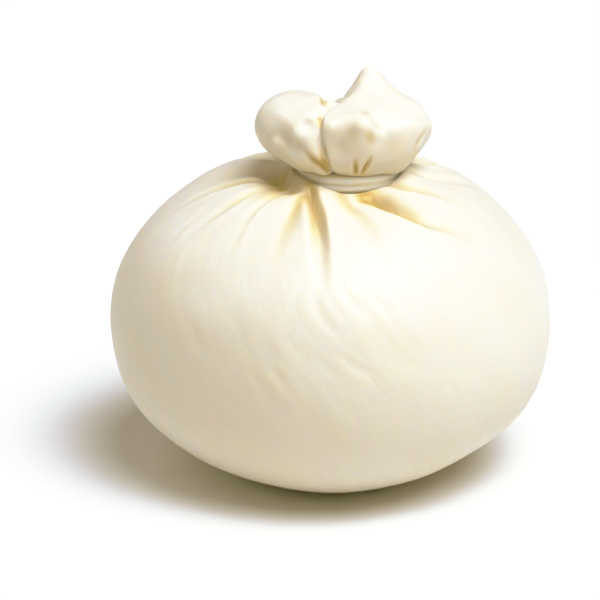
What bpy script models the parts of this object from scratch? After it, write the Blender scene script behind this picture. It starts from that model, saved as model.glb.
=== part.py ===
"""Burrata: a pouch of stretched curd, gathered at the top into a lobed knot and
tied round the neck with a strand of the same curd.

Metres, +Z up. The origin is the centre of the flat spot that the pouch rests on.
-Y is the front, where the knot's cleft and the deepest pleats are.
"""

import math

import bmesh
import bpy
import numpy as np

MM = 0.001

# Pouch: a soft ball, wider than it is high, that has settled on its underside.
POUCH_WIDTH = 85.0 * MM
POUCH_DEPTH = 83.0 * MM
POUCH_HEIGHT = 60.3 * MM
WIDEST_HEIGHT = 27.5 * MM
REST_RADIUS = 15.5 * MM
LOWER_FULLNESS = 2.11
UPPER_FULLNESS = 2.23

# Neck: the throat that the strand is wound round, to the right of the middle.
NECK_X = 3.4 * MM
NECK_Y = 0.0
NECK_RADIUS = 8.2 * MM
NECK_RIM_RADIUS = 14.0 * MM
GROOVE_RADIUS = 9.5 * MM
GROOVE_HEIGHT = 56.1 * MM
NECK_TOP = 60.9 * MM
NECK_SHIFT_STARTS = 0.45

# Strand round the neck. The gap keeps it a piece of its own.
STRAND_GAP = 0.35 * MM
STRAND_THICKNESS = 1.7 * MM
STRAND_HEIGHT = 3.3 * MM
STRAND_MIDDLE = 58.8 * MM
STRAND_TILT = math.radians(0.6)
STRAND_UNEVENNESS = 0.10

# Knot: the free end of the skin, puffed out over the strand.
KNOT_X = 2.5 * MM
KNOT_Y = -1.0 * MM
KNOT_HALF_WIDTH = 16.9 * MM
KNOT_HALF_DEPTH = 12.0 * MM
KNOT_WIDEST_HEIGHT = 68.0 * MM
KNOT_CROWN_HEIGHT = 73.2 * MM
KNOT_PIT_HEIGHT = 67.0 * MM
CROWN_REACH = 0.42
UNDERSIDE_FULLNESS = 2.1
FLANK_FULLNESS = 2.3

# Pleats: they die away towards the widest ring, over this height above it. Beside
# each valley the skin swells into lips, a share of its depth.
PLEAT_FADE = 10.0 * MM
LIP_SHARE = 0.22
LIP_OFFSET = 2.1

# Clefts: the deepest bite, the angle in degrees that rounds a cleft's bottom, the
# height share at which it has reached its crown angle, and how far the crown
# sinks where the reach is bitten away.
DEEPEST_BITE = 0.62
CLEFT_ROUNDING = 2.0
LEAN_DONE = 0.6
CLEFT_FADE = 0.15
CROWN_SINK = 0.9

# Facets
SEGMENTS = 80
LOWER_RINGS = 9
UPPER_RINGS = 22
RING_CROWDING = 1.35
RIM_RINGS = 4
UNDERSIDE_RINGS = 7
OUTER_RINGS = 6
INNER_RINGS = 6
STRAND_SIDES = 8
STRAND_SEGMENTS = 48

# Pleats that run out of the neck over the pouch. Angles are in degrees round the
# neck, from +X towards +Y; the others are in millimetres. Each pleat is straight
# from its root at the neck to its tip, but for its bow.
PLEATS = (
    {"root": 229, "tip": 261, "reach": 36, "bow": 0.4, "width": 2.0, "depth": 3.2},
    {"root": 278, "tip": 323, "reach": 32, "bow": 2.0, "width": 2.2, "depth": 2.5},
    {"root": 262, "tip": 286, "reach": 29, "bow": 0.5, "width": 1.9, "depth": 1.0},
    {"root": 176, "tip": 150, "reach": 31, "bow": 0.0, "width": 2.7, "depth": 3.4},
    {"root": 198, "tip": 168, "reach": 36, "bow": 2.0, "width": 2.1, "depth": 1.4},
    {"root": 210, "tip": 198, "reach": 34, "bow": 0.0, "width": 2.0, "depth": 1.1},
    {"root": 219, "tip": 225, "reach": 36, "bow": 0.0, "width": 2.0, "depth": 0.9},
    {"root": 312, "tip": 342, "reach": 26, "bow": 1.0, "width": 2.0, "depth": 1.1},
    {"root": 352, "tip": 18, "reach": 29, "bow": 1.0, "width": 2.1, "depth": 1.4},
    {"root": 20, "tip": 46, "reach": 33, "bow": 1.0, "width": 2.3, "depth": 2.2},
    {"root": 48, "tip": 66, "reach": 27, "bow": 0.6, "width": 2.0, "depth": 1.4},
    {"root": 77, "tip": 88, "reach": 35, "bow": 0.6, "width": 2.2, "depth": 2.6},
    {"root": 104, "tip": 108, "reach": 26, "bow": 0.0, "width": 2.0, "depth": 1.3},
    {"root": 134, "tip": 128, "reach": 33, "bow": -0.6, "width": 2.2, "depth": 2.2},
)

# Clefts between the lobes of the knot: where the cleft leaves the strand and where
# it stands at the crown, in degrees round the neck, how far it bites into the
# lobes, how wide it opens in degrees, and how far up the skin it goes, from the
# strand (0) to the middle of the crown (1).
CLEFTS = (
    {"foot": 252, "crown": 232, "bite": 0.50, "width": 12, "ends": 1.00},
    {"foot": 226, "crown": 205, "bite": 0.20, "width": 8, "ends": 0.34},
    {"foot": 281, "crown": 279, "bite": 0.12, "width": 5, "ends": 0.22},
    {"foot": 290, "crown": 296, "bite": 0.12, "width": 5, "ends": 0.22},
    {"foot": 92, "crown": 104, "bite": 0.42, "width": 14, "ends": 1.00},
    {"foot": 40, "crown": 46, "bite": 0.26, "width": 11, "ends": 0.62},
    {"foot": 142, "crown": 136, "bite": 0.22, "width": 10, "ends": 0.50},
    {"foot": 330, "crown": 322, "bite": 0.08, "width": 8, "ends": 0.35},
)

# Soft pulls on the skin: centre, move and radius in millimetres.
PULLS = (
    {"name": "peak of the right lobe", "at": (6.6, 2.5, 72.3), "by": (0.2, 0.6, 5.6), "radius": 4.4},
    {"name": "top of the left lobe", "at": (-10.0, 0.0, 72.0), "by": (-0.8, 0.0, 1.6), "radius": 6.0},
    {"name": "top of the right lobe", "at": (12.0, 3.0, 72.5), "by": (0.3, 0.5, 1.3), "radius": 6.0},
    {"name": "left shoulder of the pouch", "at": (-19, 14, 51), "by": (-0.3, 0.8, 1.2), "radius": 13.0},
    {"name": "front of the rim", "at": (4.0, -15.0, 58.0), "by": (0.0, 0.0, -1.8), "radius": 8.0},
    {"name": "tip of the fold in the cleft", "at": (-0.8, 3.0, 69.7), "by": (0.0, 0.0, 2.4), "radius": 2.4},
    {"name": "right end of the knot", "at": (19.0, -1.0, 69.0), "by": (0.6, 0.0, -1.4), "radius": 5.0},
)


def smoothstep(x):
    x = np.clip(x, 0.0, 1.0)
    return x * x * (3.0 - 2.0 * x)


def angle_between(azimuth, other):
    """Signed difference of two azimuths in degrees, from -180 to 180."""
    return (azimuth - other + 180.0) % 360.0 - 180.0


def lower_ring(t):
    """Radius share and height of the pouch below its widest ring, t from 0 to 1."""
    n = LOWER_FULLNESS
    rest_share = 2.0 * REST_RADIUS / POUCH_WIDTH
    full_drop = WIDEST_HEIGHT / (1.0 - rest_share ** n) ** (1.0 / n)
    rest_angle = math.acos(rest_share ** (n / 2.0))
    angle = rest_angle * (1.0 - t)
    share = math.cos(angle) ** (2.0 / n)
    return share, WIDEST_HEIGHT - full_drop * math.sin(angle) ** (2.0 / n)


def upper_ring(t):
    """Radius share and height of the pouch above its widest ring, t from 0 to 1."""
    n = UPPER_FULLNESS
    foot_angle = math.acos((2.0 * NECK_RIM_RADIUS / POUCH_WIDTH) ** (n / 2.0))
    angle = foot_angle * t
    share = math.cos(angle) ** (2.0 / n)
    return share, WIDEST_HEIGHT + (POUCH_HEIGHT - WIDEST_HEIGHT) * math.sin(angle) ** (2.0 / n)


def pouch_rings(azimuth):
    """Rings from the edge of the flat spot up to the foot of the neck."""
    rings = []
    steps = [(lower_ring, i / LOWER_RINGS) for i in range(LOWER_RINGS)]
    for i in range(UPPER_RINGS + 1):
        steps.append((upper_ring, 1.0 - (1.0 - i / UPPER_RINGS) ** RING_CROWDING))
    for profile, t in steps:
        share, height = profile(t)
        in_upper = t if profile is upper_ring else 0.0
        shift = smoothstep((in_upper - NECK_SHIFT_STARTS) / (1.0 - NECK_SHIFT_STARTS))
        x = share * POUCH_WIDTH / 2.0 * np.cos(azimuth) + shift * NECK_X
        y = share * POUCH_DEPTH / 2.0 * np.sin(azimuth) + shift * NECK_Y
        rings.append(np.stack([x, y, np.full_like(x, height)], axis=1))
    return rings


def neck_rings(azimuth, rim_height):
    """Down off the rim, round the groove that the strand sits in, and up the throat."""
    rings = []
    for i in range(1, RIM_RINGS + 1):
        t = i / RIM_RINGS
        radius = NECK_RIM_RADIUS + (GROOVE_RADIUS - NECK_RIM_RADIUS) * t
        height = rim_height + (GROOVE_HEIGHT - rim_height) * smoothstep(t)
        rings.append(ring_round_neck(azimuth, radius, height))
    fillet = GROOVE_RADIUS - NECK_RADIUS
    for angle in (math.pi / 4.0, math.pi / 2.0):
        radius = GROOVE_RADIUS - fillet * math.sin(angle)
        height = GROOVE_HEIGHT + fillet * (1.0 - math.cos(angle))
        rings.append(ring_round_neck(azimuth, radius, height))
    rings.append(ring_round_neck(azimuth, NECK_RADIUS, NECK_TOP))
    return rings


def ring_round_neck(azimuth, radius, height):
    x = NECK_X + radius * np.cos(azimuth)
    y = NECK_Y + radius * np.sin(azimuth)
    return np.stack([x, y, np.broadcast_to(height, x.shape)], axis=1)


def knot_reach(azimuth):
    """Distance from the neck's axis to the knot's oval outline."""
    dx = (NECK_X - KNOT_X) / KNOT_HALF_WIDTH
    dy = (NECK_Y - KNOT_Y) / KNOT_HALF_DEPTH
    ux = np.cos(azimuth) / KNOT_HALF_WIDTH
    uy = np.sin(azimuth) / KNOT_HALF_DEPTH
    a = ux ** 2 + uy ** 2
    b = dx * ux + dy * uy
    c = dx ** 2 + dy ** 2 - 1.0
    return (-b + np.sqrt(b ** 2 - a * c)) / a


def cleft_bite(azimuth, along):
    """Share of the reach that the clefts take away, `along` from the strand to the crown."""
    degrees = np.degrees(azimuth)
    bite = np.zeros_like(azimuth)
    for cleft in CLEFTS:
        lean = angle_between(cleft["crown"], cleft["foot"]) * min(1.0, along / LEAN_DONE)
        off = np.hypot(angle_between(degrees, cleft["foot"] + lean), CLEFT_ROUNDING) - CLEFT_ROUNDING
        fade = smoothstep((cleft["ends"] - along) / CLEFT_FADE + 0.5) if cleft["ends"] < 1.0 else 1.0
        bite += cleft["bite"] * fade * np.exp(-off / cleft["width"])
    return np.minimum(bite, DEEPEST_BITE)


def knot_rings(azimuth):
    """The puffed skin from the strand, round the lobes and into the pit of the crown."""
    rings = []
    total = UNDERSIDE_RINGS + OUTER_RINGS + INNER_RINGS
    reach = knot_reach(azimuth)
    for i in range(1, total):
        bitten = reach * (1.0 - cleft_bite(azimuth, i / total))
        outer = bitten
        crown = CROWN_REACH * bitten
        sunk = CROWN_SINK * (KNOT_CROWN_HEIGHT - KNOT_WIDEST_HEIGHT) * (1.0 - bitten / reach)
        if i <= UNDERSIDE_RINGS:
            angle = math.pi / 2.0 * i / UNDERSIDE_RINGS
            power = 2.0 / UNDERSIDE_FULLNESS
            radius = NECK_RADIUS + (outer - NECK_RADIUS) * math.sin(angle) ** power
            rise = 1.0 - math.cos(angle) ** power
            height = NECK_TOP + (KNOT_WIDEST_HEIGHT - NECK_TOP) * rise
        elif i <= UNDERSIDE_RINGS + OUTER_RINGS:
            angle = math.pi / 2.0 * (i - UNDERSIDE_RINGS) / OUTER_RINGS
            power = 2.0 / FLANK_FULLNESS
            radius = crown + (outer - crown) * math.cos(angle) ** power
            top = KNOT_CROWN_HEIGHT - sunk
            height = KNOT_WIDEST_HEIGHT + (top - KNOT_WIDEST_HEIGHT) * math.sin(angle) ** power
        else:
            t = (i - UNDERSIDE_RINGS - OUTER_RINGS) / INNER_RINGS
            radius = crown * (1.0 - t)
            top = KNOT_CROWN_HEIGHT - sunk
            height = top + (KNOT_PIT_HEIGHT - top) * smoothstep(t)
        rings.append(ring_round_neck(azimuth, radius, height))
    return rings


def pleat_relief(points):
    """Depth of the pleats at each point of the pouch, negative into the skin."""
    plan = points[..., :2] - np.array([NECK_X, NECK_Y])
    relief = np.zeros(points.shape[:-1])
    for pleat in PLEATS:
        root_angle, tip_angle = math.radians(pleat["root"]), math.radians(pleat["tip"])
        root = NECK_RADIUS * np.array([math.cos(root_angle), math.sin(root_angle)])
        tip = pleat["reach"] * MM * np.array([math.cos(tip_angle), math.sin(tip_angle)])
        run = tip - root
        length = np.linalg.norm(run)
        run /= length
        along = (plan - root) @ run
        across = (plan - root) @ np.array([-run[1], run[0]])
        t = np.clip(along / length, 0.0, 1.0)
        across = across + 4.0 * pleat["bow"] * MM * t * (1.0 - t)
        beyond = along - np.clip(along, 0.0, length)
        distance = np.hypot(across, beyond)
        width = pleat["width"] * MM * (0.75 + 0.5 * t)
        depth = pleat["depth"] * MM * (1.0 - t)
        valley = np.exp(-(distance / width) ** 2)
        lips = np.exp(-((distance - LIP_OFFSET * width) / width) ** 2)
        relief += depth * (LIP_SHARE * lips - valley)
    return relief


def grid_normals(grid):
    """Outward unit normals of a grid of rings that run anticlockwise from below."""
    round_way = np.roll(grid, -1, axis=1) - np.roll(grid, 1, axis=1)
    up_way = np.gradient(grid, axis=0)
    normals = np.cross(round_way, up_way)
    return normals / np.linalg.norm(normals, axis=2, keepdims=True)


def apply_pulls(grid):
    for pull in PULLS:
        centre = np.array(pull["at"]) * MM
        distance = np.linalg.norm(grid - centre, axis=2) / (pull["radius"] * MM)
        weight = np.exp(-distance ** 2)
        grid = grid + weight[..., None] * np.array(pull["by"]) * MM
    return grid


def build_pouch():
    """The pouch, its neck and its knot: one skin, so one closed grid of rings."""
    azimuth = np.linspace(0.0, 2.0 * math.pi, SEGMENTS, endpoint=False)
    body = pouch_rings(azimuth)
    neck = neck_rings(azimuth, body[-1][0, 2])
    knot = knot_rings(azimuth)
    grid = np.stack(body + neck + knot)
    from_neck = np.hypot(grid[..., 0] - NECK_X, grid[..., 1] - NECK_Y)
    off_groove = smoothstep((from_neck - NECK_RADIUS) / (NECK_RIM_RADIUS - NECK_RADIUS))
    on_crown = smoothstep((grid[..., 2] - WIDEST_HEIGHT) / PLEAT_FADE)
    on_crown[len(body) + RIM_RINGS:] = 0.0
    relief = pleat_relief(grid) * off_groove * on_crown
    grid = grid + grid_normals(grid) * relief[..., None]
    grid = apply_pulls(grid)
    crown = np.array([NECK_X, NECK_Y, KNOT_PIT_HEIGHT])
    return closed_grid("pouch", grid, crown)


def closed_grid(name, grid, crown):
    """A mesh of quads through the rings, with a flat face below and a fan at the crown."""
    mesh = bmesh.new()
    rows = [[mesh.verts.new(point) for point in ring] for ring in grid]
    count = len(rows[0])
    for lower, upper in zip(rows, rows[1:]):
        for i in range(count):
            j = (i + 1) % count
            mesh.faces.new((lower[i], lower[j], upper[j], upper[i]))
    mesh.faces.new(list(reversed(rows[0])))
    top = mesh.verts.new(crown)
    for i in range(count):
        mesh.faces.new((rows[-1][i], rows[-1][(i + 1) % count], top))
    return finished_object(name, mesh)


def build_strand():
    """The strand: a flattened ring of curd, pressed on to the neck."""
    mesh = bmesh.new()
    inner = NECK_RADIUS + STRAND_GAP
    rows = []
    for i in range(STRAND_SEGMENTS):
        around = 2.0 * math.pi * i / STRAND_SEGMENTS
        thickness = STRAND_THICKNESS * (1.0 + STRAND_UNEVENNESS * math.sin(around))
        tall = STRAND_HEIGHT * (1.0 - STRAND_UNEVENNESS * math.sin(around + 1.0) ** 2)
        row = []
        for k in range(STRAND_SIDES):
            angle = 2.0 * math.pi * k / STRAND_SIDES
            out = inner + thickness / 2.0 * (1.0 + math.cos(angle))
            up = STRAND_MIDDLE + tall / 2.0 * math.sin(angle)
            up += math.tan(STRAND_TILT) * out * math.cos(around)
            x = NECK_X + out * math.cos(around)
            y = NECK_Y + out * math.sin(around)
            row.append(mesh.verts.new((x, y, up)))
        rows.append(row)
    for i in range(STRAND_SEGMENTS):
        here, there = rows[i], rows[(i + 1) % STRAND_SEGMENTS]
        for k in range(STRAND_SIDES):
            m = (k + 1) % STRAND_SIDES
            mesh.faces.new((here[k], there[k], there[m], here[m]))
    return finished_object("neck_strand", mesh)


def finished_object(name, mesh):
    bmesh.ops.recalc_face_normals(mesh, faces=mesh.faces)
    data = bpy.data.meshes.new(name)
    mesh.to_mesh(data)
    mesh.free()
    data.shade_smooth()
    data.set_sharp_from_angle(angle=math.radians(50.0))
    obj = bpy.data.objects.new(name, data)
    bpy.context.scene.collection.objects.link(obj)
    return obj


def curd_material(name, color, roughness):
    material = bpy.data.materials.new(name)
    material.use_nodes = True
    shader = material.node_tree.nodes["Principled BSDF"]
    shader.inputs["Base Color"].default_value = (*color, 1.0)
    shader.inputs["Roughness"].default_value = roughness
    shader.inputs["Metallic"].default_value = 0.0
    return material


def clear_scene():
    for obj in list(bpy.data.objects):
        bpy.data.objects.remove(obj, do_unlink=True)


def main():
    clear_scene()
    pouch = build_pouch()
    pouch.data.materials.append(curd_material("curd_skin", (0.90, 0.87, 0.76), 0.38))
    strand = build_strand()
    strand.data.materials.append(curd_material("curd_strand", (0.88, 0.84, 0.72), 0.36))


main()
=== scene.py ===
import math

import bpy
import numpy as np
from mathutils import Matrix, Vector, noise
from mathutils.bvhtree import BVHTree


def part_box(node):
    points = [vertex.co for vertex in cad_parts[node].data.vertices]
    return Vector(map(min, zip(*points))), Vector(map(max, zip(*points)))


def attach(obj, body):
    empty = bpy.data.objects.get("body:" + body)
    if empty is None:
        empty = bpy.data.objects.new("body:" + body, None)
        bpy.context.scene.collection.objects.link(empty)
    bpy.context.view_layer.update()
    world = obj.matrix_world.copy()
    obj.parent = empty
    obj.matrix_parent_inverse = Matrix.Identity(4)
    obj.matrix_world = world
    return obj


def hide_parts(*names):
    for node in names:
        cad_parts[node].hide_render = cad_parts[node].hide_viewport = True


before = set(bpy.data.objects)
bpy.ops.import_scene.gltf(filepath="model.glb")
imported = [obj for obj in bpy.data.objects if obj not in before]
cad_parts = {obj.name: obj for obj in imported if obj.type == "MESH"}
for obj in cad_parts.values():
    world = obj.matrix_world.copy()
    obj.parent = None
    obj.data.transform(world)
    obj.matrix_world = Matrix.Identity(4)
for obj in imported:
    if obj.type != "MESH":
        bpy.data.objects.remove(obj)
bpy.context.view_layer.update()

mm = 0.001      # lengths below are in millimetres, Blender's in metres

# the neck stands where the CAD strand runs round it
strandLow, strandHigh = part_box("neck_strand")
neckX = (strandLow[0] + strandHigh[0]) / 2 / mm
neckY = 0.0
pouchLow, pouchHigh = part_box("pouch")
halfPouchWidth = (pouchHigh[0] - pouchLow[0]) / 2 / mm
halfPouchDepth = (pouchHigh[1] - pouchLow[1]) / 2 / mm


def smooth(x):
    x = np.clip(x, 0.0, 1.0)
    return x * x * (3.0 - 2.0 * x)


def degreesApart(a, b):
    return (a - b + 180.0) % 360.0 - 180.0


def readPoints(obj):
    points = np.empty(len(obj.data.vertices) * 3, dtype=np.float32)
    obj.data.vertices.foreach_get("co", points)
    return points.reshape(-1, 3).astype(float) / mm


def readNormals(obj):
    normals = np.empty(len(obj.data.vertices) * 3, dtype=np.float32)
    obj.data.vertex_normals.foreach_get("vector", normals)
    return normals.reshape(-1, 3).astype(float)


def writePoints(obj, points):
    obj.data.vertices.foreach_set("co", (points * mm).astype(np.float32).ravel())
    obj.data.update()


def readFloats(obj, name):
    values = np.empty(len(obj.data.vertices), dtype=np.float32)
    obj.data.attributes[name].data.foreach_get("value", values)
    return values.astype(float)


def writeFloats(obj, name, values):
    attribute = obj.data.attributes.get(name) or obj.data.attributes.new(name, "FLOAT", "POINT")
    attribute.data.foreach_set("value", np.asarray(values, dtype=np.float32))


def writeVectors(obj, name, vectors):
    attribute = obj.data.attributes.new(name, "FLOAT_VECTOR", "POINT")
    attribute.data.foreach_set("vector", np.asarray(vectors, dtype=np.float32).ravel())


def roundNeck(points):
    # azimuth in degrees and distance from the neck's axis
    x = points[:, 0] - neckX
    y = points[:, 1] - neckY
    return np.degrees(np.arctan2(y, x)) % 360.0, np.hypot(x, y)


def applySubsurf(obj, levels):
    subsurf = obj.modifiers.new("smooth", "SUBSURF")
    subsurf.levels = levels
    subsurf.render_levels = levels
    bpy.ops.object.select_all(action="DESELECT")
    obj.select_set(True)
    bpy.context.view_layer.objects.active = obj
    bpy.ops.object.modifier_apply(modifier=subsurf.name)


def curveThrough(path, steps=16):
    # a smooth curve through a few points
    path = np.array(path, dtype=float)
    if len(path) == 2:
        path = np.vstack([path[0], path.mean(axis=0), path[1]])
    padded = np.vstack([2 * path[0] - path[1], path, 2 * path[-1] - path[-2]])
    out = []
    for a, b, c, d in zip(padded, padded[1:], padded[2:], padded[3:]):
        for k in range(steps):
            t = k / steps
            out.append(0.5 * (2 * b + (c - a) * t + (2 * a - 5 * b + 4 * c - d) * t ** 2
                              + (3 * b - a - 3 * c + d) * t ** 3))
    out.append(path[-1])
    return np.array(out)


# the sculpting brushes' settings
brush = {
    "creaseReach": 3.7,        # how far a crease is felt, in its widths
    "wideStainAndShade": 1.5,          # a stain with painted crease shade wider than this, in widths, is felt further
    "stainAndShadeWidth": 1.15,
    "spread": 0.4,             # share that a crease gains in width from end to end
    "lip": 0.2,                # height of the raised lips as a share of the depth
    "lipAt": 2.0,              # how far off they stand and how wide they are, in widths
    "lipWidth": 0.9,
    "lipGrows": 0.4,           # share of the length over which they rise
    "castFrom": 60.0,          # distance from the neck's axis from which a place on the skin is looked for
    "patchShadeTight": 1.2,          # how much tighter than the brush the painted shade of a shaded patch is
    "dentTight": 1.4,          # and the stain and painted shade of a dent
}


class Skin:
    # the mesh being sculpted: its points, normals and a stain that carries the straw tint and the painted
    # shade of creases and hollows
    def __init__(self, obj):
        self.obj = obj
        self.refresh()
        self.stainAndShade = np.zeros(len(self.points))

    def refresh(self):
        self.points = readPoints(self.obj)
        self.normals = readNormals(self.obj)
        mesh = self.obj.data
        corners = [tuple(p.vertices) for p in mesh.polygons]
        self.tree = BVHTree.FromPolygons([Vector(p) for p in self.points], corners)

    def store(self):
        writePoints(self.obj, self.points)
        self.refresh()

    def onSkin(self, path):
        return np.array([tuple(self.tree.find_nearest(Vector(p))[0]) for p in path])

    def nearCurve(self, curve, reach):
        # the points within reach of a curve: how far off, on which side, how far along from 0 to 1
        low, high = curve.min(axis=0) - reach, curve.max(axis=0) + reach
        near = np.where(np.all((self.points > low) & (self.points < high), axis=1))[0]
        best = np.full(len(near), np.inf)
        side = np.zeros(len(near))
        along = np.zeros(len(near))
        lengths = np.concatenate([[0.0], np.cumsum(np.linalg.norm(np.diff(curve, axis=0), axis=1))])
        for i, (a, b) in enumerate(zip(curve, curve[1:])):
            run = b - a
            t = np.clip((self.points[near] - a) @ run / max(run @ run, 1e-12), 0.0, 1.0)
            away = self.points[near] - a - t[:, None] * run
            off = np.linalg.norm(away, axis=1)
            closer = off < best
            best[closer] = off[closer]
            side[closer] = np.einsum("ij,ij->i", away, np.cross(run, self.normals[near]))[closer]
            along[closer] = (lengths[i] + t[closer] * (lengths[i + 1] - lengths[i])) / lengths[-1]
        keep = best < reach
        return near[keep], best[keep], side[keep] > 0.0, along[keep]

    def crease(self, path, width, depth, lip=brush["lip"], stainAndShade=0.0, start=0.0, end=1.0, stainAndShadeEnd=None,
               spread=brush["spread"], stainAndShadeWidth=brush["stainAndShadeWidth"]):
        # a valley pressed along a path, fading at its ends, with raised lips beside it; a pair
        # of widths is for the sides of lower and of higher azimuth of a path that leads outward
        curve = self.onSkin(curveThrough(path))
        low, high = width if isinstance(width, tuple) else (width, width)
        reach = max(low, high) * (brush["creaseReach"] + abs(spread))
        reach *= max(1.0, stainAndShadeWidth / brush["wideStainAndShade"])
        index, off, lowSide, along = self.nearCurve(curve, reach)
        fade = smooth((1.0 - along) / end)
        if start > 0:
            fade = fade * smooth(along / start)
        wide = np.where(lowSide, low, high) * (1.0 + spread * (along - 0.5))
        valley = np.exp(-(off / wide) ** 2)
        lips = np.exp(-((off - brush["lipAt"] * wide) / (brush["lipWidth"] * wide)) ** 2)
        lips *= smooth(along / brush["lipGrows"])
        self.points[index] += self.normals[index] * (depth * fade * (lip * lips - valley))[:, None]
        # the crease's straw tint and painted shade, carried as a stain
        creaseStainAndShade = stainAndShade * smooth((1.0 - along) / (stainAndShadeEnd or end)) * np.exp(-(off / (stainAndShadeWidth * wide)) ** 2)
        self.stainAndShade[index] = np.maximum(self.stainAndShade[index], creaseStainAndShade)

    def pull(self, at, by, radius, share=1.0):
        # a soft grab, as with a round brush
        off = np.linalg.norm(self.points - np.array(at), axis=1) / radius
        self.points += (share * np.exp(-off ** 2))[:, None] * np.array(by)

    def paintPatchShade(self, at, radius, stainAndShade, share):
        # painted shade, carried as a stain, without a change of shape
        off = np.linalg.norm(self.points - np.array(at), axis=1) / radius
        self.stainAndShade = np.maximum(self.stainAndShade, share * stainAndShade * np.exp(-(brush["patchShadeTight"] * off) ** 2))

    # a soft hollow pressed in, with painted shade in it carried as a stain
    def dent(self, at, depth, radius, stainAndShade):
        off = np.linalg.norm(self.points - np.array(at), axis=1) / radius
        self.points -= self.normals * (depth * np.exp(-off ** 2))[:, None]
        self.stainAndShade = np.maximum(self.stainAndShade, stainAndShade * np.exp(-(brush["dentTight"] * off) ** 2))


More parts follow.
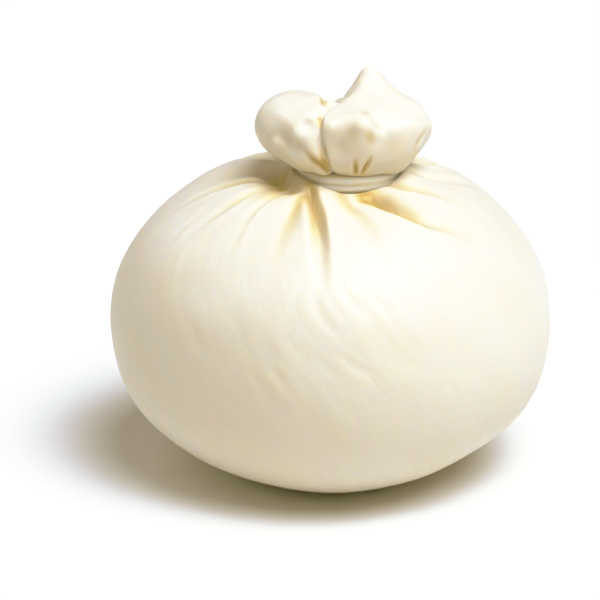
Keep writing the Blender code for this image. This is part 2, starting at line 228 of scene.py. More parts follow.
# azimuths are degrees round the neck, from the right over the back; the front is at 270
pouch = {
    "segments": 44,
    "restRadius": 15.5,
    "widestHeight": 27.5,
    "crownHeight": 60.3,
    "lowerFullness": 2.11,
    "upperFullness": 2.23,
    "lowerRings": 4,
    "upperRings": 11,
    "rimRadius": 11.5,
    "neckShiftStarts": 0.45,
    # height, radius: down off the rim into the groove that the strand sits in, and up the throat
    "throat": [(58.9, 10.4), (57.6, 9.8), (57.0, 9.0), (58.6, 8.4), (60.3, 8.6)],
    "formLevels": 2,           # subdivisions before its form is pulled into shape
    "detailLevels": 1,         # and before its pleats are pressed in
    "fitRounds": 4,            # times that the cage is moved out towards the drawn form
    "restInset": 0.8,          # size of the cap inside the flat spot
    "ringsCrowd": 1.25,        # how much closer the rings lie towards the rim
    "steepest": 0.98,          # share of the width past which pleat paths aren't laid
    "neckHolds": 0.08,         # share of the way over the knot where the neck's skin becomes the knot's
    "rimReach": 10.8,          # the rim within this of the neck's axis isn't sunk
    "rimBlend": 3.0,

    # soft pulls on its form: where, by how much, brush radius
    "pulls": [
        ((20.0, -2.0, 58.0), (0.0, 0.0, -0.7), 6.0),    # the rim on the right
        ((13.8, -1.2, 58.6), (-0.4, 0.0, 1.1), 2.6),    # drawn up against the strand's right end
        ((-19.0, 14.0, 51.0), (-0.3, 0.8, 1.2), 13.0),  # left shoulder
        ((4.0, -13.5, 58.0), (0.0, 0.0, -2.4), 7.5),    # the rim is lower in front
        ((-5.5, -8.5, 58.5), (0.0, 0.0, -0.2), 3.5),    # and on the front left
        ((11.5, -9.0, 58.0), (0.0, 0.0, -0.6), 3.5),    # lower again at the front right
        ((2.0, -30.0, 7.0), (0.0, -0.9, -0.8), 15.0),   # the belly sags forward
    ],

    # pleats from the neck: azimuth and distance from the neck's axis of each point, width on the
    # sides of lower and higher azimuth, depth, stain with painted crease shade, and the shares of
    # its length over which it deepens and runs out
    "pleats": [
        {"path": [(231, 11.2), (239, 13.5), (248, 17), (253.5, 21), (257.6, 26), (260.2, 31), (262, 37)],
         "width": (1.3, 0.85), "depth": 2.6, "stainAndShade": 1.0, "start": 0.12, "end": 0.7, "stainAndShadeEnd": 1.3,
         "stainAndShadeWidth": 1.5},
        {"path": [(281, 12), (287.2, 15), (294, 20), (303.5, 24.5), (313, 27), (320, 30), (323, 33)],
         "width": (0.8, 1.6), "depth": 1.4, "stainAndShade": 0.9, "start": 0.15, "end": 0.9, "spread": -0.8,
         "stainAndShadeEnd": 1.1, "stainAndShadeWidth": 1.3},
        {"path": [(262, 11), (270, 16), (278, 23), (282, 29), (284, 34)], "width": (1.6, 1.0), "depth": 0.5,
         "stainAndShade": 0.45, "start": 0.3, "end": 1.0},
        {"path": [(192, 11), (186, 14), (179, 18), (174, 23), (172, 28)], "width": (2.6, 1.7), "depth": 1.2,
         "stainAndShade": 0.65, "start": 0.1, "end": 1.0, "stainAndShadeEnd": 1.3},
        {"path": [(190, 11), (187, 15), (185, 20), (183, 27)], "width": (0.7, 0.5), "depth": 0.6,
         "stainAndShade": 0.7, "start": 0.2, "end": 1.0},
        {"path": [(202, 11), (196, 15), (191, 21), (187, 27), (185, 34)], "width": (1.0, 0.6), "depth": 1.2,
         "stainAndShade": 0.7, "start": 0.2, "end": 1.0},
        {"path": [(208, 10), (208, 15), (208, 21), (210, 27), (210, 36)], "width": (1.1, 0.5), "depth": 1.0,
         "stainAndShade": 0.6, "start": 0.4, "end": 1.0},
        {"path": [(217, 11), (220, 16), (223, 23.5), (228, 31), (232, 38)], "width": (0.9, 0.5),
         "depth": 0.6, "stainAndShade": 0.2, "start": 0.3, "end": 1.0},
        {"path": [(232, 11), (237, 16), (243, 24), (245, 31), (248, 36)], "width": (1.0, 1.4), "depth": 0.6,
         "stainAndShade": 0.75, "start": 0.25, "end": 0.9},
        {"path": [(311, 10), (318, 15), (328, 20), (338, 25)], "width": (1.0, 1.5), "depth": 0.9,
         "stainAndShade": 0.4, "start": 0.3, "end": 1.0},
        {"path": [(343, 10), (352, 16), (3, 22), (14, 29)], "width": (1.1, 1.6), "depth": 0.8, "stainAndShade": 0.1,
         "start": 0.3, "end": 1.0},
        {"path": [(20, 10), (27, 17), (36, 25), (46, 33)], "width": (1.4, 2.0), "depth": 1.6, "stainAndShade": 0.4,
         "start": 0.2, "end": 1.0},
        {"path": [(48, 10), (54, 16), (62, 22), (66, 27)], "width": 1.4, "depth": 1.3, "stainAndShade": 0.3,
         "start": 0.3, "end": 1.0},
        {"path": [(77, 10), (79, 17), (83, 26), (88, 35)], "width": (1.4, 1.8), "depth": 2.6, "stainAndShade": 1.0,
         "start": 0.2, "end": 1.0},
        {"path": [(104, 10), (106, 15), (107, 21), (108, 26)], "width": 1.4, "depth": 1.2, "stainAndShade": 0.3,
         "start": 0.3, "end": 1.0},
        {"path": [(134, 10), (133, 16), (130, 25), (128, 33)], "width": (1.8, 1.4), "depth": 2.1,
         "stainAndShade": 0.8, "start": 0.2, "end": 1.0},
        {"path": [(155, 10), (150, 16), (144, 22), (140, 28)], "width": 1.3, "depth": 1.0, "stainAndShade": 0.3,
         "start": 0.3, "end": 1.0},
    ],

    # slight wrinkles lower down: azimuth and height of each point, width, depth
    "wrinkleDepth": 0.36,      # share of the listed depths that is pressed in
    "wrinkleLip": 0.4,
    "wrinkles": [
        {"path": [(265, 37.0), (268, 35.6), (271, 33.7), (279, 31.0)], "width": 0.75, "depth": 0.42},
        {"path": [(250, 33.6), (253, 30.8), (256, 29.4)], "width": 0.8, "depth": 0.40},
        {"path": [(253, 42.0), (254, 44.0), (255, 46.2), (256, 50.0)], "width": 0.8, "depth": 0.30},
        {"path": [(259, 46.8), (261, 43.4), (265, 40.6), (271, 38.6)], "width": 0.8, "depth": 0.30},
        {"path": [(264, 48.6), (268, 46.0), (273, 43.3), (278, 41.4)], "width": 0.8, "depth": 0.28},
        {"path": [(292, 53.0), (291, 49.2), (291, 45.6), (292, 42.0)], "width": 0.9, "depth": 0.25},
        {"path": [(265, 27.0), (270, 25.4), (275, 22.4)], "width": 0.8, "depth": 0.24},
        {"path": [(244, 34.4), (247, 30.2), (251, 27.4)], "width": 0.9, "depth": 0.22},
        {"path": [(260, 36.4), (264, 33.8), (268, 31.2)], "width": 0.7, "depth": 0.26},
        {"path": [(296, 29.2), (300, 26.2)], "width": 0.8, "depth": 0.24},
        {"path": [(256, 20.4), (262, 18.8)], "width": 0.8, "depth": 0.20},
        {"path": [(276, 45.4), (281, 41.8)], "width": 0.8, "depth": 0.24},
        {"path": [(212, 43.6), (213, 40.4), (217, 36.6)], "width": 1.0, "depth": 0.24},
        {"path": [(236, 28.0), (241, 25.0), (246, 23.4)], "width": 0.9, "depth": 0.20},
        {"path": [(282, 35.0), (288, 32.6), (293, 31.8)], "width": 0.8, "depth": 0.24},
        {"path": [(226, 40.0), (229, 36.0), (234, 33.0)], "width": 1.0, "depth": 0.22},
    ],

    # the sunken skin beside the knot, with the knot's shadow painted on it: where, how deep, radius, stain
    # and painted shade
    "sunken": [
        ((-9.4, -1.5, 58.0), 1.9, 3.8, 1.0),
        ((-8.0, 7.0, 58.5), 0.8, 4.0, 0.6),
        ((-9.5, -5.5, 58.0), 1.2, 3.8, 0.9),
        ((-7.0, -9.0, 57.5), 1.2, 3.2, 0.7),
        ((-10.5, -10.0, 57.0), 0.5, 5.0, 0.45),
        ((6.4, -12.4, 56.7), 0.6, 1.9, 1.0),
    ],
}

knot = {
    "foot": 60.9,              # height where it swells out over the strand
    "footRadius": 8.2,
    "x": 2.5,
    "y": -1.0,
    "halfWidth": 16.9,
    "halfDepth": 12.0,
    "widest": 68.0,
    "crown": 73.2,
    "crownShare": 0.30,        # width of the crown's lip as a share of the knot's
    "pit": 71.4,
    "pitX": -0.6,
    "pitY": -0.4,
    "deepestBite": 0.62,
    "sink": 5.0,               # drop of a cleft's top, for a bite of one
    "undersideFullness": 2.1,
    "flankFullness": 2.15,
    "undersideRings": 5,
    "flankRings": 5,
    "innerRings": 3,
    "pitOpens": 0.4,           # how far short of the middle the last ring stays, in steps
    "cleftTurns": 0.6,         # share of the way to the pit by which a cleft has reached its crown azimuth
    "cleftRound": 1.5,         # degrees by which its bottom is rounded
    "cleftFades": 0.15,
    "sinkGrows": 0.3,          # share of the way to the pit over which the drop comes in
    "sinkEnds": 0.75,          # and the share from which it goes out again
    "stainAndShadeBite": 0.38,       # bite from which a cleft gets stain and painted shade
    "stainAndShadeOver": 0.1,        # and how much more until they are full
    "biteStainAndShade": 0.5,

    # clefts between the lobes: azimuth at the strand and at the crown, share of the distance
    # bitten away, width in degrees, and where on the way to the pit it ends
    "clefts": [
        {"foot": 251, "crown": 237, "bite": 0.18, "width": 3.4, "ends": 1.1},
        {"foot": 226, "crown": 205, "bite": 0.08, "width": 7, "ends": 0.34},
        {"foot": 92, "crown": 104, "bite": 0.42, "width": 13, "ends": 1.1},
        {"foot": 40, "crown": 46, "bite": 0.26, "width": 10, "ends": 0.62},
        {"foot": 142, "crown": 136, "bite": 0.22, "width": 9, "ends": 0.50},
    ],

    # soft pulls: where, by how much, brush radius
    "pulls": [
        ((7.9, 3.0, 73.0), (-0.2, 0.6, 4.1), 4.1),      # peak of the right lobe
        ((6.9, 3.6, 76.5), (-0.2, 0.0, 1.4), 1.9),      # its tip
        ((2.2, 1.8, 72.4), (-0.9, -0.2, 1.3), 2.3),     # its left flank
        ((1.0, 5.5, 73.0), (0.0, 0.0, -2.2), 3.2),      # the back lies low behind the cleft
        ((0.2, 1.6, 73.2), (-0.2, 0.0, -2.6), 2.2),
        ((12.0, -9.8, 70.6), (0.0, 0.7, -0.4), 2.8),
        ((-8.0, 0.0, 73.0), (-0.5, 0.0, 1.1), 6.0),     # round top of the left lobe
        ((-3.6, -7.6, 68.8), (0.6, -3.2, 0.6), 3.2),    # fold of the left lobe that turns into the cleft
        ((-2.6, -8.4, 65.2), (0.9, -3.4, 0.0), 2.6),    # and its lower part
        ((-2.0, -7.5, 62.2), (0.3, -2.2, -0.3), 2.2),
        ((-4.4, -11.6, 70.6), (0.0, 1.4, 0.0), 2.0),    # its brow leans back
        ((-2.4, -3.0, 73.0), (0.4, 0.0, 0.8), 2.4),
        ((0.9, -10.5, 67.0), (-0.2, 0.8, 0.0), 3.0),    # left edge of the right lobe
        ((5.6, -10.8, 71.0), (0.0, -1.5, 0.3), 2.9),    # brow of the right lobe
        ((13.0, 1.0, 73.0), (0.0, 0.3, 0.6), 5.0),      # and its top
        ((15.5, -1.0, 70.8), (0.0, 0.0, 0.8), 3.0),     # shoulder on its right
        ((19.0, -1.0, 68.0), (0.0, 0.0, -0.7), 4.0),    # its right end, lower
        ((17.5, -4.0, 65.0), (-0.9, 0.3, 0.0), 4.0),
        ((-6.0, -7.5, 61.6), (0.0, -0.3, -0.9), 2.8),   # underside of the left lobe, down over the strand
        ((5.5, -9.0, 61.5), (0.0, 0.0, -1.0), 4.5),
        ((12.5, -5.5, 62.0), (-0.3, 0.0, -1.7), 3.6),   # underside of the right lobe's end
    ],

    # creases, with stain and painted crease shade: azimuth and height of each point
    "creases": [
        {"path": [(248, 61.6), (244, 63.1), (239, 64.6), (234, 66.2), (230, 67.4)], "width": 0.6,
         "depth": 0.7, "stainAndShade": 1.0, "end": 0.7},
        {"path": [(248, 62.4), (247, 64.2), (246, 66.0), (245, 67.8)], "width": 0.7, "depth": 0.4,
         "stainAndShade": 1.0, "end": 0.8},
        {"path": [(239.5, 71.8), (242, 70.8), (244, 69.2)], "width": 0.6, "depth": 0.3, "stainAndShade": 0.6,
         "end": 0.8},
        {"path": [(276, 61.2), (275, 63.0), (274, 65.4)], "width": 0.45, "depth": 0.6, "stainAndShade": 0.9,
         "end": 0.7},
        {"path": [(282, 61.2), (285, 63.0), (290, 65.6)], "width": 0.45, "depth": 0.6, "stainAndShade": 0.9,
         "end": 0.7},
        {"path": [(328, 65.6), (337, 67.4), (345, 69.4)], "width": 0.7, "depth": 0.4, "stainAndShade": 0.2,
         "end": 0.6},
    ],

    # ridges where the skin folds over, with the height in place of the depth
    "ridges": [
        {"path": [(247, 69.2), (256, 71.2), (270, 72.2), (283, 71.8), (292, 70.4)], "width": 1.6,
         "depth": 0.5},
        {"path": [(300, 69.2), (313, 70.0), (336, 69.8)], "width": 1.8, "depth": 0.4},
        {"path": [(206, 67.4), (213, 66.4), (221, 65.1), (229, 63.6), (235, 62.3)], "width": 1.1,
         "depth": 0.8},
        {"path": [(198, 71.6), (210, 71.7), (220, 70.6), (227, 69.0), (231, 67.2)], "width": 1.5,
         "depth": 0.3},
    ],

    # on its top, by points in space: the crease where the cleft runs over the top, and the
    # edge that comes down from the peak
    "topFolds": [
        {"path": [(-1.2, 2.0, 72.5), (-1.5, -1.0, 72.8), (-1.7, -4.0, 72.7), (-1.6, -6.0, 71.0)],
         "width": 0.7, "depth": 0.7, "stainAndShade": 0.5},
        {"path": [(6.6, 1.0, 77.5), (4.4, -1.5, 75.0), (1.8, -4.0, 72.8)], "width": 1.5, "depth": -0.6,
         "stainAndShade": 0.0},
    ],

    # soft hollows: azimuth, height, depth, radius, stain and painted shade
    "hollows": [
        (218, 67.6, 0.7, 2.6, 0.1),      # front of the left lobe
        (231, 66.8, 0.2, 1.2, 0.2),
        (287, 68.6, 0.45, 1.7, 0.45),    # dimples in the right lobe
        (288, 72.6, 0.3, 1.4, 0.3),
        (262, 67.0, 0.5, 2.6, 0.1),
        (298, 70.9, 0.7, 1.9, 0.15),
        (306, 66.8, 0.6, 3.0, 0.15),
        (270, 69.6, 0.3, 1.6, 0.15),
    ],
}

# fine relief of the drawn curd, whose fibres run down from the neck and swing round it
grain = {
    "swing": 62.0,             # degrees that a fibre turns between the neck and the floor
    "patch": 9.0,
    "streak": 1.9,
    "stretch": 5.0,
    "height": 0.15,
    "lumps": 0.45,
    "lumpSize": 15.0,
    "crumple": 0.24,           # unevenness of the knot
    "crumpleSize": 3.6,
    "swingsLate": 1.3,         # more than one keeps the fibres straight near the neck
    "chordToArc": 1.15,        # length of a fibre for each millimetre straight from the crown
    "evenRadius": 34.0,        # radius at which the fibres are as wide as their size says
    "top": 58.0,               # height of its upper end on the pouch, and the fade below it
    "topFade": 6.0,
    "foot": 1.0,               # and of its lower end, with the fade above it
    "footFade": 8.0,
    "least": 0.6,              # share of the streaks' height that is there everywhere
    "patchy": 0.8,             # and the share that comes in patches
    "crumpleFrom": 62.0,
    "crumpleFade": 3.0,
}


def profileRing(share, height, shift):
    return height, share * halfPouchWidth, share * halfPouchDepth, shift * neckX, shift * neckY


def pouchRings():
    # the settled ball: two superellipse arcs that meet at its widest ring
    rings = []
    low, up = pouch["lowerFullness"], pouch["upperFullness"]
    wide = pouch["widestHeight"]
    rest = pouch["restRadius"] / halfPouchWidth
    drop = wide / (1.0 - rest ** low) ** (1.0 / low)
    restAngle = math.acos(rest ** (low / 2.0))
    rings.append(profileRing(rest * pouch["restInset"], 0.0, 0.0))
    for i in range(pouch["lowerRings"]):
        angle = restAngle * (1.0 - i / pouch["lowerRings"])
        share = math.cos(angle) ** (2.0 / low)
        rings.append(profileRing(share, wide - drop * math.sin(angle) ** (2.0 / low), 0.0))
    rimAngle = math.acos((pouch["rimRadius"] / halfPouchWidth) ** (up / 2.0))
    for i in range(pouch["upperRings"] + 1):
        t = 1.0 - (1.0 - i / pouch["upperRings"]) ** pouch["ringsCrowd"]
        angle = rimAngle * t
        share = math.cos(angle) ** (2.0 / up)
        shift = float(smooth((t - pouch["neckShiftStarts"]) / (1.0 - pouch["neckShiftStarts"])))
        height = wide + (pouch["crownHeight"] - wide) * math.sin(angle) ** (2.0 / up)
        rings.append(profileRing(share, height, shift))
    for height, radius in pouch["throat"]:
        rings.append((height, radius, radius, neckX, neckY))
    return rings


def knotRings():
    # out over the strand, up round the lobes and down into the crown's pit
    rings = []
    for i in range(1, knot["undersideRings"] + 1):
        angle = math.pi / 2 * i / knot["undersideRings"]
        power = 2.0 / knot["undersideFullness"]
        out = math.sin(angle) ** power
        height = knot["foot"] + (knot["widest"] - knot["foot"]) * (1.0 - math.cos(angle) ** power)
        rings.append((height,
                      knot["footRadius"] + (knot["halfWidth"] - knot["footRadius"]) * out,
                      knot["footRadius"] + (knot["halfDepth"] - knot["footRadius"]) * out,
                      neckX + (knot["x"] - neckX) * out,
                      neckY + (knot["y"] - neckY) * out))
    lip = knot["crownShare"]
    shares = []
    for i in range(1, knot["flankRings"] + 1):
        angle = math.pi / 2 * i / knot["flankRings"]
        power = 2.0 / knot["flankFullness"]
        height = knot["widest"] + (knot["crown"] - knot["widest"]) * math.sin(angle) ** power
        shares.append((lip + (1.0 - lip) * max(0.0, math.cos(angle)) ** power, height))
    for i in range(1, knot["innerRings"] + 1):
        t = i / (knot["innerRings"] + knot["pitOpens"])
        shares.append((lip * (1.0 - t), knot["crown"] + (knot["pit"] - knot["crown"]) * float(smooth(t))))
    for share, height in shares:
        inward = 1.0 - share
        rings.append((height, knot["halfWidth"] * share, knot["halfDepth"] * share,
                      knot["x"] + (knot["pitX"] - knot["x"]) * inward,
                      knot["y"] + (knot["pitY"] - knot["y"]) * inward))
    return rings


def drawCage(name, rings):
    # a disc drawn up ring by ring
    height, halfWidth, halfDepth, x, y = rings[0]
    bpy.ops.object.select_all(action="DESELECT")
    bpy.ops.mesh.primitive_circle_add(vertices=pouch["segments"], radius=halfWidth * mm, fill_type="NGON",
                                      location=(x * mm, y * mm, height * mm))
    cage = bpy.context.object
    cage.name = name
    bpy.ops.object.transform_apply(location=True, rotation=True, scale=True)
    bpy.ops.object.mode_set(mode="EDIT")
    bpy.ops.mesh.select_all(action="SELECT")
    bpy.ops.transform.resize(value=(1.0, halfDepth / halfWidth, 1.0), center_override=(x * mm, y * mm, 0.0))
    for last, ring in zip(rings, rings[1:]):
        move = ((ring[3] - last[3]) * mm, (ring[4] - last[4]) * mm, (ring[0] - last[0]) * mm)
        bpy.ops.mesh.extrude_region_move(TRANSFORM_OT_translate={"value": move})
        bpy.ops.transform.resize(value=(ring[1] / last[1], ring[2] / last[2], 1.0),
                                 center_override=(ring[3] * mm, ring[4] * mm, ring[0] * mm))
    bpy.ops.mesh.select_all(action="SELECT")
    bpy.ops.mesh.normals_make_consistent(inside=False)
    bpy.ops.object.mode_set(mode="OBJECT")
    bpy.ops.object.shade_smooth()
    return cage


def partLobes(skin):
    # bite the clefts into the knot, so that its skin stands in lobes
    azimuth = roundNeck(skin.points)[0]
    along = readFloats(skin.obj, "along")
    bite = np.zeros(len(skin.points))
    for cleft in knot["clefts"]:
        foot, crown = cleft["foot"], cleft["crown"]
        at = foot + (crown - foot) * np.minimum(1.0, along / knot["cleftTurns"])
        off = np.hypot(degreesApart(azimuth, at), knot["cleftRound"]) - knot["cleftRound"]
        fade = smooth((cleft["ends"] - along) / knot["cleftFades"])
        bite += cleft["bite"] * fade * np.exp(-off / cleft["width"])
    bite = np.minimum(bite, knot["deepestBite"]) * smooth(along / pouch["neckHolds"])
    skin.points[:, 0] = neckX + (skin.points[:, 0] - neckX) * (1.0 - bite)
    skin.points[:, 1] = neckY + (skin.points[:, 1] - neckY) * (1.0 - bite)
    flank = knot["undersideRings"] / (knot["undersideRings"] + knot["flankRings"] + knot["innerRings"])
    goesOut = smooth((along - knot["sinkEnds"]) / (1.0 - knot["sinkEnds"]))
    over = smooth((along - flank) / knot["sinkGrows"]) * (1.0 - goesOut)
    skin.points[:, 2] -= knot["sink"] * bite * over
    # painted shade and straw tint in the deeper clefts, carried as a stain
    cleftStainAndShade = smooth((bite - knot["stainAndShadeBite"]) / knot["stainAndShadeOver"])
    skin.stainAndShade = np.maximum(skin.stainAndShade, cleftStainAndShade * knot["biteStainAndShade"])


def crownHeightAt(share):
    # height of the unpleated pouch above its widest ring
    wide = pouch["widestHeight"]
    up = pouch["upperFullness"]
    return wide + (pouch["crownHeight"] - wide) * (1.0 - share ** up) ** (1.0 / up)


def pleatPath(path):
    # points on the unpleated crown, from azimuth and distance from the neck's axis
    out = []
    for azimuth, reach in path:
        angle = math.radians(azimuth)
        x, y = neckX + reach * math.cos(angle), neckY + reach * math.sin(angle)
        share = min(pouch["steepest"], math.hypot(x / halfPouchWidth, y / halfPouchDepth))
        out.append((x, y, crownHeightAt(share)))
    return out


def skinPath(skin, path):
    # points on the skin, from azimuth and height
    out = []
    for azimuth, height in path:
        angle = math.radians(azimuth)
        outward = Vector((math.cos(angle), math.sin(angle), 0.0))
        start = Vector((neckX, neckY, height)) + outward * brush["castFrom"]
        hit = skin.tree.ray_cast(start, -outward)[0]
        out.append(tuple(hit))
    return out


def pressPleats(skin):
    for pleat in pouch["pleats"]:
        skin.crease(pleatPath(pleat["path"]), pleat["width"], pleat["depth"], stainAndShade=pleat["stainAndShade"],
                    start=pleat["start"], end=pleat["end"], stainAndShadeEnd=pleat.get("stainAndShadeEnd", 1.0),
                    spread=pleat.get("spread", brush["spread"]),
                    stainAndShadeWidth=pleat.get("stainAndShadeWidth", brush["stainAndShadeWidth"]))


def pressWrinkles(skin):
    for wrinkle in pouch["wrinkles"]:
        skin.crease(skinPath(skin, wrinkle["path"]), wrinkle["width"],
                    pouch["wrinkleDepth"] * wrinkle["depth"], lip=pouch["wrinkleLip"], start=0.3, end=0.5)


def sinkBesideKnot(skin):
    # straight down, so that the rim stays whole against the strand
    onPouch = 1.0 - smooth(readFloats(skin.obj, "along") / pouch["neckHolds"])
    offRim = onPouch * smooth((roundNeck(skin.points)[1] - pouch["rimReach"]) / pouch["rimBlend"])
    for at, depth, radius, stainAndShade in pouch["sunken"]:
        # the knot's shadow painted on the skin beside it, carried as a stain
        skin.paintPatchShade(at, radius, stainAndShade, onPouch)
        skin.pull(at, (0.0, 0.0, -depth), radius, offRim)


def fitCage(cage):
    # move the cage out until its smoothed skin passes through the rings as drawn
    wanted = readPoints(cage)
    points = wanted.copy()
    subsurf = cage.modifiers.new("try", "SUBSURF")
    subsurf.levels = pouch["formLevels"]
    for _ in range(pouch["fitRounds"]):
        smoothed = cage.evaluated_get(bpy.context.evaluated_depsgraph_get())
        reached = readPoints(smoothed)[:len(wanted)]
        points += wanted - reached
        writePoints(cage, points)
    cage.modifiers.remove(subsurf)


def flowOf(points):
    # place of each point in the curd's grain: round the neck, untwisted, and down from the crown
    azimuth, reach = roundNeck(points)
    down = np.clip((pouch["crownHeight"] - points[:, 2]) / pouch["crownHeight"], 0.0, 1.0)
    turned = np.radians(azimuth - grain["swing"] * down ** grain["swingsLate"])
    length = grain["chordToArc"] * np.hypot(reach, pouch["crownHeight"] - points[:, 2])
    radius = grain["evenRadius"]
    return np.column_stack([radius * np.cos(turned), radius * np.sin(turned), length])


def addGrain(skin):
    flow = flowOf(skin.points)
    z = skin.points[:, 2]
    onPouch = smooth((grain["top"] - z) / grain["topFade"])
    onPouch *= smooth((z - grain["foot"]) / grain["footFade"])
    onKnot = smooth((z - grain["crumpleFrom"]) / grain["crumpleFade"])
    relief = np.empty(len(flow))
    crumple = np.zeros(len(flow))
    for i, (place, f) in enumerate(zip(skin.points, flow)):
        patch = noise.noise(Vector(place) / grain["patch"])
        streak = noise.noise(Vector((f[0] / grain["streak"], f[1] / grain["streak"],
                                     f[2] / grain["streak"] / grain["stretch"])) + Vector((0, 0, patch)))
        lump = noise.noise(Vector(place) / grain["lumpSize"])
        share = grain["least"] + grain["patchy"] * max(0.0, patch)
        relief[i] = grain["height"] * streak * share + grain["lumps"] * lump
        if place[2] > grain["crumpleFrom"]:
            crumple[i] = grain["crumple"] * noise.noise(Vector(place) / grain["crumpleSize"])
    skin.points += skin.normals * (relief * onPouch + crumple * onKnot)[:, None]


def shapeKnot(skin):
    for azimuth, height, depth, radius, stainAndShade in knot["hollows"]:
        skin.dent(skinPath(skin, [(azimuth, height)])[0], depth, radius, stainAndShade)
    skin.store()
    for ridge in knot["ridges"]:
        skin.crease(skinPath(skin, ridge["path"]), ridge["width"], -ridge["depth"], lip=0.0, start=0.2,
                    end=0.2)
    skin.store()
    for fold in knot["topFolds"]:
        skin.crease(fold["path"], fold["width"], fold["depth"], lip=0.0, stainAndShade=fold["stainAndShade"], start=0.2,
                    end=0.3)
    skin.store()
    for crease in knot["creases"]:
        skin.crease(skinPath(skin, crease["path"]), crease["width"], crease["depth"], stainAndShade=crease["stainAndShade"],
                    start=0.15, end=crease["end"])
    skin.store()


def buildPouch():
    rings = pouchRings()
    knotStarts = len(rings)
    rings += knotRings()
    obj = drawCage("burrata_pouch", rings)
    # how far each ring is on its way from the strand, 0, over the knot to the pit, 1
    along = np.clip((np.arange(len(rings)) - knotStarts + 1) / (len(rings) - knotStarts), 0.0, 1.0)
    writeFloats(obj, "along", np.repeat(along, pouch["segments"]))
    fitCage(obj)
    applySubsurf(obj, pouch["formLevels"])
    skin = Skin(obj)
    partLobes(skin)
    skin.store()
    ofKnot = smooth(readFloats(obj, "along") / pouch["neckHolds"])
    for at, by, radius in knot["pulls"]:
        skin.pull(at, by, radius, ofKnot)
    for at, by, radius in pouch["pulls"]:
        skin.pull(at, by, radius, 1.0 - ofKnot)
    skin.store()
    writeFloats(obj, "stainAndShade", skin.stainAndShade)
    applySubsurf(obj, pouch["detailLevels"])
    skin = Skin(obj)
    skin.stainAndShade = readFloats(obj, "stainAndShade")
    pressPleats(skin)
    skin.store()
    addGrain(skin)
    skin.store()
    pressWrinkles(skin)
    skin.store()
    sinkBesideKnot(skin)
    shapeKnot(skin)
    writeFloats(obj, "stainAndShade", skin.stainAndShade)
    points = readPoints(obj)
    points[:, 2] = np.maximum(points[:, 2], 0.0)
    writePoints(obj, points)
    writeVectors(obj, "flow", flowOf(points))
    return obj


strand = {
    "thickness": 2.3,
    "height": 3.6,
    "innerRadius": 8.2,
    "middle": 58.8,
    "squareness": 3.0,         # power of its section: two is an ellipse
    "segments": (128, 24),     # round the neck and round its section
    "front": 285.0,            # azimuth where it is tallest
    "slack": 0.22,             # share of its height that it loses at the back
    "outerFace": 0.3,          # share of its thickness over which the outer face's relief comes in
    "groove": 0.4,             # depth of the groove between its two turns, its height and width
    "grooveHeight": 0.2,
    "grooveWidth": 0.32,
    "grooveWander": 0.35,      # how far it climbs and falls, and the azimuth where it climbs
    "grooveClimbs": 40.0,
    "bulge": 0.10,             # unevenness of its outer face, how often it comes round and its turn
    "bulges": 3,
    "bulgeTurn": 20.0,         # degrees
    "drawnIn": 0.05,           # how far the whole outer face is drawn in
    "edgeFrom": 0.6,           # share of the half height where the painted shade along the edges starts
    "edgeShade": 0.45,
    "grooveShade": 0.15,
}


def buildStrand():
    thickness, middle = strand["thickness"], strand["middle"]
    middleRadius = strand["innerRadius"] + thickness / 2
    aroundNeck, aroundSection = strand["segments"]
    bpy.ops.object.select_all(action="DESELECT")
    bpy.ops.mesh.primitive_torus_add(major_segments=aroundNeck, minor_segments=aroundSection,
                                     major_radius=middleRadius * mm, minor_radius=thickness / 2 * mm,
                                     location=(neckX * mm, neckY * mm, middle * mm))
    obj = bpy.context.object
    obj.name = "burrata_strand"
    bpy.ops.object.mode_set(mode="EDIT")
    bpy.ops.mesh.select_all(action="SELECT")
    bpy.ops.transform.resize(value=(1.0, 1.0, strand["height"] / thickness),
                             center_override=(neckX * mm, neckY * mm, middle * mm))
    bpy.ops.object.mode_set(mode="OBJECT")
    bpy.ops.object.transform_apply(location=True, rotation=True, scale=True)
    bpy.ops.object.shade_smooth()
    points = readPoints(obj)
    azimuth, reach = roundNeck(points)
    across = points[:, 2] - middle
    # a band's section: flatter outside than round
    turn = np.arctan2(across / strand["height"], (reach - middleRadius) / thickness)
    power = strand["squareness"]
    flat = (np.abs(np.cos(turn)) ** power + np.abs(np.sin(turn)) ** power) ** (-1.0 / power)
    reach = middleRadius + (reach - middleRadius) * flat
    points[:, 0] = neckX + reach * np.cos(np.radians(azimuth))
    points[:, 1] = neckY + reach * np.sin(np.radians(azimuth))
    across = across * flat
    outward = smooth((reach - middleRadius) / (strand["outerFace"] * thickness))
    # the groove between the two turns runs lowest at the front right
    climb = np.sin(np.radians(azimuth - strand["grooveClimbs"]))
    wander = strand["grooveHeight"] + strand["grooveWander"] * climb
    groove = np.exp(-((across - wander) / strand["grooveWidth"]) ** 2) * outward
    slackness = 0.5 - 0.5 * np.cos(np.radians(azimuth - strand["front"]))
    narrowed = 1.0 - strand["slack"] * slackness
    uneven = np.sin(np.radians(strand["bulges"] * azimuth + strand["bulgeTurn"]))
    bulge = strand["bulge"] * uneven * outward - strand["drawnIn"] * outward
    scale = (reach - strand["groove"] * groove + bulge) / reach
    points[:, 0] = neckX + (points[:, 0] - neckX) * scale
    points[:, 1] = neckY + (points[:, 1] - neckY) * scale
    points[:, 2] = middle + across * narrowed
    writePoints(obj, points)
    # painted shade, carried as a stain, along its edges against the knot and the pouch and in the groove
    # between its turns
    fromMiddle = np.abs(across) / (strand["height"] / 2)
    edge = smooth((fromMiddle - strand["edgeFrom"]) / (1.0 - strand["edgeFrom"]))
    writeFloats(obj, "stainAndShade", np.maximum(strand["edgeShade"] * edge, strand["grooveShade"] * groove))
    # its grain runs along it: across is the fibre's width, round the neck its length
    around = np.radians((azimuth + 270.0) % 360.0) * middleRadius
    writeVectors(obj, "flow", np.column_stack([across, reach, around]))
    return obj


